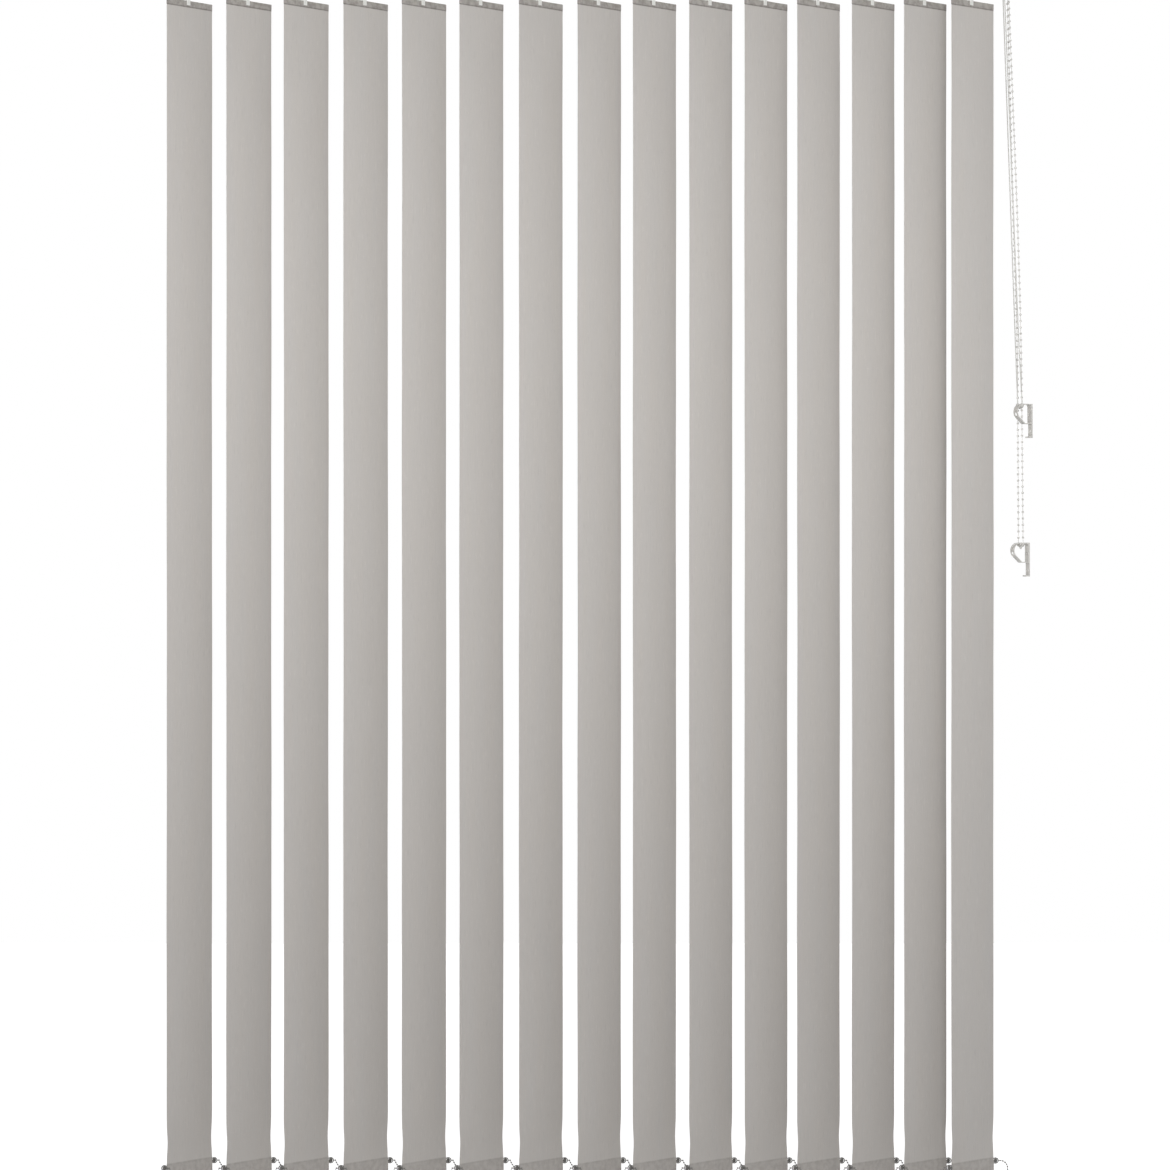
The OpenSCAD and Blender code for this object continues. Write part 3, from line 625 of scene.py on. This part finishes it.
upper_turn = clip_turn(UPPER_CLIP, UPPER_TURN, UPPER_HOOK, SADDLE_R + CORD_R + CORD_GAP, -1)
back_hang = softened([
    Vector((GUIDE_X + GUIDE_R, CORD_Y, GUIDE_Z)), BACK_BEND, upper_turn[0]], HANG_BEND)
front_hang = softened([
    upper_turn[-1], FRONT_BEND, Vector((GUIDE_X + GUIDE_R, -CORD_Y, GUIDE_Z))], HANG_BEND)
cord_line = (
    [Vector((TIE_X - TIE_GAP, -CORD_Y, CORD_Z))]
    + arc(Vector((IDLER_X, 0, CORD_Z)), CORD_Y, X, Y, -90, -270, 20)
    + arc(Vector((GUIDE_X, CORD_Y, GUIDE_Z)), GUIDE_R, X, Z, 90, 0, 10)
    + back_hang[1:-1] + upper_turn + front_hang[1:-1]
    + arc(Vector((GUIDE_X, -CORD_Y, GUIDE_Z)), GUIDE_R, X, Z, 0, 90, 10)
    + [Vector((TIE_X + TIE_GAP, -CORD_Y, CORD_Z))])
cord_line = [p * MM for p in cord_line]

bm = bmesh.new()
cord_length = add_tube(bm, cord_line, CORD_R * MM, 12)
pulling_cord = make_piece(bm, "pulling_cord", "root", CORD_BRAID)
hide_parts("cord_loop")
print("pulling cord:", round(cord_length, 3), "m")

# %% [markdown]
# The bead chain hangs over its wheel and goes round the lower clip. It is a thin string with a bead
# every 12 mm. The beads sit in the pockets of the wheel, so the pitch is a sixth of the wheel's
# circumference.

# %% The bead chain
BEAD_R, BEAD_PITCH, STRING_R = 2.25, 12.04, 0.55
WHEEL_X, ROD_Y, ROD_Z, WHEEL_R = 797, 9, -20.15, 11.5
JOIN = 2
FRONT_BENDS = [Vector((815, 2, -460)), Vector((822, 4, -680))]
BACK_BENDS = [Vector((817, 24, -680)), Vector((809, 22, -460))]

wheel = Vector((WHEEL_X, ROD_Y, ROD_Z))
lower_turn = clip_turn(LOWER_CLIP, LOWER_TURN, LOWER_HOOK, SADDLE_R + BEAD_R, 1)
front_run = softened([
    Vector((WHEEL_X, ROD_Y - WHEEL_R, ROD_Z)), *FRONT_BENDS, lower_turn[0]], HANG_BEND)
back_run = softened([
    lower_turn[-1], *BACK_BENDS, Vector((WHEEL_X, ROD_Y + WHEEL_R, ROD_Z))], HANG_BEND)
chain_line = (
    arc(wheel, WHEEL_R, Y, Z, 90 + JOIN, 180, 14) + front_run[1:-1] + lower_turn + back_run[1:-1]
    + arc(wheel, WHEEL_R, Y, Z, 0, 90 - JOIN, 14))
chain_line = [p * MM for p in chain_line]

bm = bmesh.new()
chain_length = add_tube(bm, chain_line, STRING_R * MM, 8)
bead_places = even_steps(chain_line, BEAD_PITCH * MM)
add_beads(bm, bead_places, BEAD_R * MM, 14, 9)
bead_chain = make_piece(bm, "operating_chain", "root", BEAD_WHITE)
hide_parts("bead_chain")
print("bead chain:", round(chain_length, 3), "m,", len(bead_places), "beads")

# %% [markdown]
# ## The foot chains
# A fine bead chain hangs from knob to knob along the feet of the vanes, one in front and one
# behind. Each hangs in shallow loops. Between two loops it passes over a knob, inside a small clip
# that snaps onto the knob. The one behind ends in a loose tail at the right.

# %% The foot chains
FOOT_BEAD_R, FOOT_PITCH, FOOT_STRING_R = 1.6, 4.7, 0.45
TAIL_BEND = 14
SAME_PLACE = 2e-5


def knob_at(vane, side):
    return hung(vane) @ Vector((side * KNOB_X, 0, KNOB_Z)) / MM


def loop_between(a, b):
    """The line of chain from the knob at a to the knob at b, without its two clips."""
    along = (b - a).normalized()
    gap = (b - a).length
    radius = (gap / 2 - CHAIN_LINK) / math.sin(math.radians(CHAIN_SLOPE))
    centre = a + along * gap / 2 + Z * radius * math.cos(math.radians(CHAIN_SLOPE))
    return arc(centre, radius, along, Z, -90 - CHAIN_SLOPE, -90 + CHAIN_SLOPE, 28)


def over_knob(knob, before, after):
    """The half turn over a knob, from its left link to its right one."""
    left = [knob - (knob - before).normalized() * CHAIN_LINK] if before else []
    right = [knob + (after - knob).normalized() * CHAIN_LINK] if after else []
    return left + arc(knob, RING_R, X, Z, 180, 0, 8) + right


def make_foot_chain(name, node, side):
    knobs = [knob_at(vane, side) for vane in VANES]
    line, beads = [], []
    for k, knob in enumerate(knobs):
        before = knobs[k - 1] if k else None
        after = knobs[k + 1] if k < COUNT - 1 else None
        line += over_knob(knob, before, after)
        if after:
            loop = loop_between(knob, after)
            line += loop[1:-1]
            beads += even_steps(loop, FOOT_PITCH)
    if side > 0:
        link = knobs[-1] + X * CHAIN_LINK
        tail = [link] + arc(link - Z * TAIL_BEND, TAIL_BEND, X, Z, 90, 0, 8)
        tail.append(tail[-1] - Z * CHAIN_TAIL)
        line += tail
        beads += even_steps(tail, FOOT_PITCH)[1:]
    line = [p * MM for p in line]
    line = [p for k, p in enumerate(line) if not k or (p - line[k - 1]).length > SAME_PLACE]
    bm = bmesh.new()
    length = add_tube(bm, line, FOOT_STRING_R * MM, 6)
    add_beads(bm, [p * MM for p in beads], FOOT_BEAD_R * MM, 8, 6)
    chain = make_piece(bm, name, node, CHAIN_GREY)
    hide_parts(node)
    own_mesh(chain)
    print(name, round(length, 3), "m,", len(beads), "beads")


make_foot_chain("front_chain", "foot_chain_front", -1)
make_foot_chain("back_chain", "foot_chain_back", 1)

# %% [markdown]
# ## A vane's cloth
# Each vane is one strip of cloth. Its top is turned in over a stiff hanger, and its foot is turned
# up round a weight. So the strip starts as a flat grid, and each row of it goes to its place on the
# side view: up the hem's inner layer, over the top, down the whole front, round the foot and up the
# pocket's inner layer. Solidify then gives it the thickness of the cloth.

# %% Rows of the cloth, seen from the side
HEM_Y = 0.475
POCKET_Y = 1.02
SEAM_Y = 0.24
COLUMNS = 14
LONG_ROW, LONG_ROWS_END = 34, 130
SHORT_ROWS = (120, 104, 90, 78, 68, 59, 50, 42, 34, 26, 18, 11, 6)
HALF_TURN = [math.pi * k / 6 for k in range(7)]


def side_view():
    """Rows of the strip: (place towards the back, height), from the hem's inner edge on."""
    hem_foot = TOP - HEM
    rows = [(SEAM_Y, hem_foot), (SEAM_Y, hem_foot + 1.1), (HEM_Y, hem_foot + 2.6)]
    rows += [(HEM_Y, hem_foot + 5.5)]
    rows += [(HEM_Y * math.cos(a), TOP - LAYER / 2 - HEM_Y + HEM_Y * math.sin(a))
             for a in HALF_TURN]
    rows += [(-HEM_Y, hem_foot + 5.5), (-HEM_Y, hem_foot + 2.6), (-SEAM_Y, hem_foot + 1.1)]
    rows += [(-SEAM_Y, hem_foot), (-0.12, hem_foot - 1.5), (0, hem_foot - 4)]
    z = hem_foot - 16
    while z > POCKET_TOP + LONG_ROWS_END:
        rows.append((0, z))
        z -= LONG_ROW
    rows += [(0, POCKET_TOP + up) for up in SHORT_ROWS]
    rows += [(-0.08, POCKET_TOP + 2.5), (-SEAM_Y, POCKET_TOP), (-SEAM_Y - 0.04, POCKET_TOP - 1.2)]
    rows += [(-0.7, POCKET_TOP - 4), (-POCKET_Y, POCKET_TOP - 8), (-POCKET_Y, POCKET_TOP - 20)]
    rows += [(-POCKET_Y * math.cos(a), FOOT + LAYER / 2 + POCKET_Y - POCKET_Y * math.sin(a))
             for a in HALF_TURN]
    rows += [(POCKET_Y, POCKET_TOP - 20), (POCKET_Y, POCKET_TOP - 8), (0.7, POCKET_TOP - 4)]
    rows += [(SEAM_Y + 0.04, POCKET_TOP - 1.2), (SEAM_Y, POCKET_TOP - 0.3)]
    return rows


ROWS = side_view()
ALONG = [0.0]
for (y0, z0), (y1, z1) in zip(ROWS, ROWS[1:]):
    ALONG.append(ALONG[-1] + math.hypot(y1 - y0, z1 - z0))
print("cloth:", len(ROWS), "rows,", round(ALONG[-1], 1), "mm of cloth in each vane")

# %% [markdown]
# A strip of cloth isn't a board. It is slightly hollow across its width, as cloth that was rolled
# up stays. The hanger and the weight hold it flat at both ends. Above the pocket its edges pull in
# a little, and the pocket itself is spread by the weight.

# %% Cloth of a vane
HOLLOW, FLAT_AT_HEM, FLAT_AT_POCKET = 2.3, 160, 110
WAVER, LONG_WAVE, SHORT_WAVE = 0.35, 170, 61
LONG_SHIFT, SHORT_SHIFT = 1.7, 2.9
PINCH, PINCH_UP, PINCH_LONG = 2.4, 40, 24
PATTERN_X, PATTERN_Y = 0.31, 0.17
# How strongly a painted shade darkens the double cloth of hem and pocket
HEM_SHADE, POCKET_SHADE = 0.78, 0.42
HEM_WELD, POCKET_WELD = 0.6, 0.25


def ease(t):
    t = min(1.0, max(0.0, t))
    return t * t * (3 - 2 * t)


def cloth_point(across, y, z, waver):
    """Where a point of the strip hangs: across goes from -1 at the left edge to 1 at the right."""
    from_hem = ease((TOP - HEM - z) / FLAT_AT_HEM)
    from_pocket = ease((z - POCKET_TOP - 4) / FLAT_AT_POCKET)
    hollow = (WAVER * waver - HOLLOW * (1 - across * across)) * min(from_hem, from_pocket)
    pulled = math.exp(-((z - POCKET_TOP - PINCH_UP) / PINCH_LONG) ** 2)
    half = VANE_W / 2 - PINCH * pulled * abs(across) ** 3
    return Vector((across * half, y + hollow, z))


def sharpen_rim(mesh):
    """Marks the open edges sharp, so that the cloth's faces are shaded apart from its thin rim."""
    bm = bmesh.new()
    bm.from_mesh(mesh)
    for edge in bm.edges:
        if edge.is_boundary:
            edge.smooth = False
    bm.to_mesh(mesh)
    bm.free()


def make_cloth(vane, seed):
    """A vane's strip of cloth; its seed shifts the pattern and its slow waves."""
    bm = bmesh.new()
    bmesh.ops.create_grid(bm, x_segments=COLUMNS, y_segments=len(ROWS) - 1, size=0.5)
    flat = bm.loops.layers.uv.new("cloth")
    double = bm.verts.layers.float.new("double")
    weld = bm.verts.layers.float.new("weld")
    for vert in bm.verts:
        across = vert.co.x * 2
        row = round((0.5 - vert.co.y) * (len(ROWS) - 1))
        y, z = ROWS[row]
        waver = math.sin(z / LONG_WAVE + seed * LONG_SHIFT)
        waver += 0.5 * math.sin(z / SHORT_WAVE + seed * SHORT_SHIFT + across)
        for loop in vert.link_loops:
            loop[flat].uv = (across * VANE_W / 2 * MM + seed * PATTERN_X,
                             -ALONG[row] * MM + seed * PATTERN_Y)
        # Painted shade: hem and pocket, where the cloth lies double, are marked to be darker
        if z > TOP - HEM - 0.5:
            vert[double] = HEM_SHADE
        elif z < POCKET_TOP + 0.5:
            vert[double] = POCKET_SHADE
        if abs(z - (TOP - HEM + 0.55)) < 0.6:
            vert[weld] = HEM_WELD
        elif abs(z - (POCKET_TOP - 0.6)) < 0.7:
            vert[weld] = POCKET_WELD
        vert.co = cloth_point(across, y, z, waver)
    bmesh.ops.transform(bm, matrix=hung(vane), verts=bm.verts)
    cloth = make_piece(bm, "fabric_" + vane, "hung_vane_" + vane, CLOTH, merge=1e-8)
    sharpen_rim(cloth.data)
    thick = cloth.modifiers.new("thickness", "SOLIDIFY")
    thick.thickness = LAYER * MM
    thick.offset = 0
    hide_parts("vane_" + vane)
    return cloth


cloths = {vane: make_cloth(vane, k) for k, vane in enumerate(VANES)}
print("vanes of cloth:", len(cloths), "with", len(cloths["01"].data.vertices), "points each")

# %% [markdown]
# ## Plates and discs
# The weights and hangers are thin plates, and the knobs are discs. A plate is a cube, scaled, with
# its edges bevelled. A disc is a short cylinder whose two rims are bevelled.

# %% Plates and discs
def add_plate(bm, low, high, soft, matrix):
    """A box between two corners with its edges bevelled."""
    low, high = Vector(low), Vector(high)
    size = Matrix.Diagonal((high - low).to_4d())
    size[3][3] = 1
    made = bmesh.ops.create_cube(
        bm, size=1, matrix=matrix @ Matrix.Translation((low + high) / 2) @ size)["verts"]
    edges = list({e for v in made for e in v.link_edges})
    bmesh.ops.bevel(bm, geom=edges, offset=soft * MM, offset_type="OFFSET", segments=2,
                    profile=0.5, affect="EDGES", material=-1, clamp_overlap=True)


def add_disc(bm, centre, radius, thick, soft, matrix, segments=28):
    """A round disc whose axis is Y, with its two rims bevelled."""
    stand = matrix @ Matrix.Translation(centre) @ Matrix.Rotation(math.radians(90), 4, "X")
    made = bmesh.ops.create_cone(bm, cap_ends=True, segments=segments, radius1=radius,
                                 radius2=radius, depth=thick, matrix=stand)["verts"]
    rims = [e for e in {e for v in made for e in v.link_edges}
            if any(len(f.verts) == segments for f in e.link_faces)]
    bmesh.ops.bevel(bm, geom=rims, offset=soft * MM, offset_type="OFFSET", segments=3,
                    profile=0.5, affect="EDGES", material=-1, clamp_overlap=True)


# %% [markdown]
# ## Weights and hangers
# In the foot of each vane lies a flat weight with a knob at both ends, just outside the cloth. In
# the hem lies a thin clear hanger that the hook holds.

# %% Weights and hangers
WEIGHT_HALF, WEIGHT_T, WEIGHT_LOW = 59, 1.5, FOOT + 1.55
WEIGHT_HIGH, LUG_H, LUG_IN = KNOB_Z + 1.5, 4, 6
HUB_SHARE, HUB_T = 0.55, KNOB_T + 0.6
HANGER_HALF, HANGER_T = 20, 0.4
HANGER_LOW, HANGER_HIGH = TOP - 7.9, TOP - 1.1
PLATE_SOFT, LUG_SOFT, KNOB_SOFT, HUB_SOFT, HANGER_SOFT = 0.4, 0.35, 0.7, 0.25, 0.12


def make_weight(vane):
    bm = bmesh.new()
    here = hung(vane)
    half_t = WEIGHT_T / 2
    add_plate(bm, (-WEIGHT_HALF, -half_t, WEIGHT_LOW), (WEIGHT_HALF, half_t, WEIGHT_HIGH),
              PLATE_SOFT, here)
    for side in (-1, 1):
        ends = sorted((side * (WEIGHT_HALF - LUG_IN), side * KNOB_X))
        knob = (side * KNOB_X, 0, KNOB_Z)
        add_plate(bm, (ends[0], -half_t, WEIGHT_HIGH - LUG_H), (ends[1], half_t, WEIGHT_HIGH),
                  LUG_SOFT, here)
        add_disc(bm, knob, KNOB_R, KNOB_T, KNOB_SOFT, here)
        add_disc(bm, knob, KNOB_R * HUB_SHARE, HUB_T, HUB_SOFT, here)
    return make_piece(bm, "weight_" + vane, "hung_vane_" + vane, WEIGHT_GREY)


def make_hanger(vane):
    bm = bmesh.new()
    add_plate(bm, (-HOOK_SIDE - HANGER_HALF, -HANGER_T / 2, HANGER_LOW),
              (-HOOK_SIDE + HANGER_HALF, HANGER_T / 2, HANGER_HIGH), HANGER_SOFT, hung(vane))
    return make_piece(bm, "hanger_" + vane, "hung_vane_" + vane, CLEAR)


for vane in VANES:
    weight, hanger = make_weight(vane), make_hanger(vane)
    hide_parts("vane_" + vane)
    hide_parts("vane_" + vane)
print("weights and hangers:", 2 * COUNT)

# %% [markdown]
# ## Chain clips
# A small clip snaps round each knob: a ring with an arm to either side, which ends in a socket for
# the chain's last bead. The clip turns with its vane's knob, so it rides on the vane.

# %% Chain clips
# Radii of the ring's wire, of an arm and of a socket, and where the arm's neck ends
CLIP_RING, CLIP_ARM, CLIP_SOCKET, CLIP_NECK = 0.95, 0.8, 1.35, 1.6


def new_ring(centre, radius, thick, segments=28, sides=8):
    """A ring in the plane of X and Z: a small circle that is spun round."""
    ring = bmesh.new()
    made = bmesh.ops.create_circle(ring, cap_ends=False, segments=sides, radius=thick)["verts"]
    bmesh.ops.translate(ring, verts=made, vec=(radius, 0, 0))
    edges = list({e for v in made for e in v.link_edges})
    bmesh.ops.spin(ring, geom=made + edges, cent=(0, 0, 0), axis=(0, 1, 0), dvec=(0, 0, 0),
                   angle=math.radians(360), steps=segments, use_merge=True,
                   use_normal_flip=False, use_duplicate=False)
    bmesh.ops.translate(ring, verts=ring.verts, vec=centre)
    return ring


def make_chain_clips(vane, k):
    bm = bmesh.new()
    for side in (-1, 1):
        knob = knob_at(vane, side)
        ring = new_ring(knob * MM, RING_R * MM, CLIP_RING * MM)
        for way in (-1, 1):
            if 0 <= k + way < COUNT:
                other = knob_at(VANES[k + way], side)
                out = (other - knob).normalized()
            elif side > 0 and way > 0:
                out = X
            else:
                continue
            arm = [knob + out * far for far in (RING_R, RING_R + CLIP_NECK, CHAIN_LINK)]
            add_tube(ring, [p * MM for p in arm], CLIP_ARM * MM, 8)
            add_beads(ring, [arm[-1] * MM], CLIP_SOCKET * MM, 12, 8)
        mesh = bpy.data.meshes.new("ring")
        ring.to_mesh(mesh)
        ring.free()
        bm.from_mesh(mesh)
        bpy.data.meshes.remove(mesh)
    return make_piece(bm, "chain_clips_" + vane, "hung_vane_" + vane, CLIP_GREY)


for k, vane in enumerate(VANES):
    make_chain_clips(vane, k)
print("chain clips:", 2 * COUNT)

# %% [markdown]
# ## Finishes of the CAD parts
# The rail, its housings, the carriers and the clips are right as CAD made them. They only get
# their finishes, on their own material slots.

# %% Finishes of the CAD parts
FINISHES = {
    "headrail": RAIL_WHITE, "end_cap": WHITE_PLASTIC, "control_housing": WHITE_PLASTIC,
    "brackets": BRACKET, "tilt_rod": ROD_METAL, "chain_wheel": WHITE_PLASTIC,
    "idler_pulley": WHITE_PLASTIC, "guide_pulley_front": WHITE_PLASTIC,
    "guide_pulley_back": WHITE_PLASTIC, "clip_upper": CLEAR, "clip_lower": CLEAR,
}
for vane in VANES:
    FINISHES["carrier_" + vane] = ACETAL
    FINISHES["stem_" + vane] = HOOK_WHITE
for node_name, finish in FINISHES.items():
    for material_slot in nodes[node_name].material_slots:
        material_slot.material = finish
print("CAD parts finished:", len(FINISHES))

# %% [markdown]
# ## Floor
# The floor lies just below the vanes. It is white to the camera, and a soft shadow stays on it. Its
# glow is only there for rays from the camera, a reflection or clear plastic, so it lights nothing.

# %% Floor
FLOOR_Z, FLOOR_HALF, FLOOR_PALE, FLOOR_GLOW = -2.33, 6, (0.8, 0.8, 0.8, 1), 0.82


def seen_directly(tree):
    """1 for rays from the camera, a reflection or a clear part, and 0 for the light itself."""
    paths = add(tree, "LightPath")
    return math_node(tree, "MAXIMUM", paths.outputs["Is Camera Ray"], math_node(
        tree, "MAXIMUM", paths.outputs["Is Glossy Ray"], paths.outputs["Is Transmission Ray"]))


floor_bm = bmesh.new()
bmesh.ops.create_grid(floor_bm, x_segments=1, y_segments=1, size=FLOOR_HALF)
bmesh.ops.translate(floor_bm, verts=floor_bm.verts, vec=(0, 0, FLOOR_Z))
floor_mesh = bpy.data.meshes.new("floor")
floor_bm.to_mesh(floor_mesh)
floor_bm.free()
floor = bpy.data.objects.new("floor", floor_mesh)
bpy.context.scene.collection.objects.link(floor)

floor_paint, tree, shader = new_finish("floor paint", Roughness=0.9, Base_Color=FLOOR_PALE)
strength = math_node(tree, "MULTIPLY", seen_directly(tree), FLOOR_GLOW)
glow = add(tree, "Emission", {"Color": (1, 1, 1, 1), "Strength": strength})
both = add(tree, "AddShader", {0: shader.outputs[0], 1: glow.outputs[0]})
tree.links.new(both.outputs[0], tree.nodes["Material Output"].inputs["Surface"])
floor_mesh.materials.append(floor_paint)
print("floor at", FLOOR_Z, "m")

# %% [markdown]
# ## World and lamps
# The world is white where the camera or a reflection sees it, and a weak plain light elsewhere. A
# large soft lamp far in front lights the vanes evenly. A long narrow one near the rail makes them
# lighter at the top than at the foot, as in the photo.

# %% World and lamps
WORLD_LIGHT = 0.265
ROOM_LAMP = {"place": (0.2, -6.5, -0.4), "target": (0, 0, -1.25), "size": (3.0, 1.5), "power": 200}
WINDOW_LAMP = {"place": (0, -3.2, 0.1), "target": (0, 0, -0.66), "size": (6.0, 0.8), "power": 13}
WINDOW_SPREAD = math.radians(60)

world = bpy.data.worlds.new("white room")
bpy.context.scene.world = world
world.use_nodes = True
tree = world.node_tree
plain = tree.nodes["Background"]
plain.inputs["Color"].default_value = (1, 1, 1, 1)
plain.inputs["Strength"].default_value = WORLD_LIGHT
white = add(tree, "Background", {"Color": (1, 1, 1, 1), "Strength": 1.0})
choice = add(tree, "MixShader", {
    0: seen_directly(tree), 1: plain.outputs[0], 2: white.outputs[0]})
tree.links.new(choice.outputs[0], tree.nodes["World Output"].inputs["Surface"])


def add_lamp(name, place, target, size, power):
    """A soft flat lamp that looks at a target."""
    lamp = bpy.data.lights.new(name, "AREA")
    lamp.shape = "RECTANGLE"
    lamp.size, lamp.size_y = size
    lamp.energy = power
    holder = bpy.data.objects.new(name, lamp)
    holder.location = place
    holder.rotation_euler = (Vector(target) - Vector(place)).to_track_quat("-Z", "Y").to_euler()
    bpy.context.scene.collection.objects.link(holder)
    return holder


room = add_lamp("room", **ROOM_LAMP)
window = add_lamp("window", **WINDOW_LAMP)
window.data.spread = WINDOW_SPREAD
bpy.context.scene.view_settings.view_transform = "Standard"
print("lamps:", [(lamp.name, lamp.data.energy) for lamp in (room, window)])
